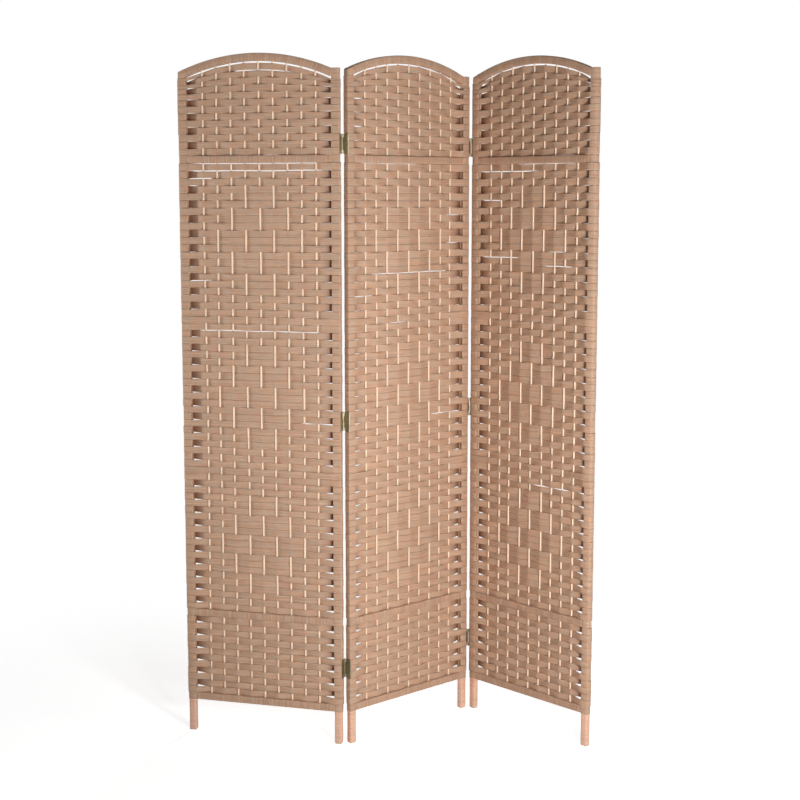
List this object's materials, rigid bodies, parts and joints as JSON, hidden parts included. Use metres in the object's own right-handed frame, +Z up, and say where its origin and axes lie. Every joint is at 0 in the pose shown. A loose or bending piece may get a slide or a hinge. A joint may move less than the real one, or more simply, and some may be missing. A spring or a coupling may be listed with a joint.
{
  "type": "folding room divider screen",
  "caption": "Free-standing folding room screen of arched wooden frames with woven paper-cord bands, joined by two-way hinges.",
  "frame": {"origin": "bottom centre of the screen's box, standing as in the picture with its panels part folded", "axes": "+Z up, +X to the right and +Y away from the viewer, seen from the picture's side"},
  "size_m": [1.0751, 0.3398, 1.8],
  "materials": {
    "frame_wood": "matte",
    "stake_wood": "matte",
    "woven_cord": "matte",
    "wound_cord": "matte",
    "hinge_brass": "satin",
    "pin_steel": "satin"
  },
  "bodies": {
    "left_panel": {"left_panel_left_post": "frame_wood", "left_panel_right_post": "frame_wood", "left_panel_arch": "frame_wood", "left_panel_upper_rail": "frame_wood", "left_panel_lower_rail": "frame_wood", "left_panel_bottom_rail": "frame_wood", "left_panel_laths": "frame_wood", "left_panel_stakes": "stake_wood", "left_panel_top_weave": "woven_cord", "left_panel_middle_weave": "woven_cord", "left_panel_lower_weave": "woven_cord", "left_panel_rail_windings": "wound_cord", "left_panel_arch_winding": "wound_cord", "left_panel_post_windings": "wound_cord", "left_panel_dowels": "frame_wood", "left_line_outer_leaves": "hinge_brass", "left_line_outer_screws": "pin_steel", "left_line_back_pins": "pin_steel"},
    "middle_panel": {"middle_panel_left_post": "frame_wood", "middle_panel_right_post": "frame_wood", "middle_panel_arch": "frame_wood", "middle_panel_upper_rail": "frame_wood", "middle_panel_lower_rail": "frame_wood", "middle_panel_bottom_rail": "frame_wood", "middle_panel_laths": "frame_wood", "middle_panel_stakes": "stake_wood", "middle_panel_top_weave": "woven_cord", "middle_panel_middle_weave": "woven_cord", "middle_panel_lower_weave": "woven_cord", "middle_panel_rail_windings": "wound_cord", "middle_panel_arch_winding": "wound_cord", "middle_panel_post_windings": "wound_cord", "middle_panel_dowels": "frame_wood", "left_line_middle_leaves": "hinge_brass", "left_line_middle_screws": "pin_steel", "left_line_front_pins": "pin_steel", "right_line_middle_leaves": "hinge_brass", "right_line_middle_screws": "pin_steel", "right_line_back_pins": "pin_steel"},
    "right_panel": {"right_panel_left_post": "frame_wood", "right_panel_right_post": "frame_wood", "right_panel_arch": "frame_wood", "right_panel_upper_rail": "frame_wood", "right_panel_lower_rail": "frame_wood", "right_panel_bottom_rail": "frame_wood", "right_panel_laths": "frame_wood", "right_panel_stakes": "stake_wood", "right_panel_top_weave": "woven_cord", "right_panel_middle_weave": "woven_cord", "right_panel_lower_weave": "woven_cord", "right_panel_rail_windings": "wound_cord", "right_panel_arch_winding": "wound_cord", "right_panel_post_windings": "wound_cord", "right_panel_dowels": "frame_wood", "right_line_outer_leaves": "hinge_brass", "right_line_outer_screws": "pin_steel", "right_line_front_pins": "pin_steel"},
    "left_links": {"left_line_links": "hinge_brass"},
    "right_links": {"right_line_links": "hinge_brass"}
  },
  "joints": [
    {"name": "left_front_pins", "type": "hinge", "parent": "middle_panel", "child": "left_links", "pos_m": [-0.09473, -0.14683, 0.86199], "axis": [0, 0, 1], "range_deg": [0, 90]},
    {"name": "left_back_pins", "type": "hinge", "parent": "left_links", "child": "left_panel", "pos_m": [-0.11017, -0.13033, 0.86199], "axis": [0, 0, -1], "range_deg": [-58.7, 121.3]},
    {"name": "right_back_pins", "type": "hinge", "parent": "middle_panel", "child": "right_links", "pos_m": [0.21205, 0.1712, 0.86199], "axis": [0, 0, 1], "range_deg": [0, 90]},
    {"name": "right_front_pins", "type": "hinge", "parent": "right_links", "child": "right_panel", "pos_m": [0.22749, 0.15469, 0.86199], "axis": [0, 0, -1], "range_deg": [-90.7, 89.3]}
  ]
}
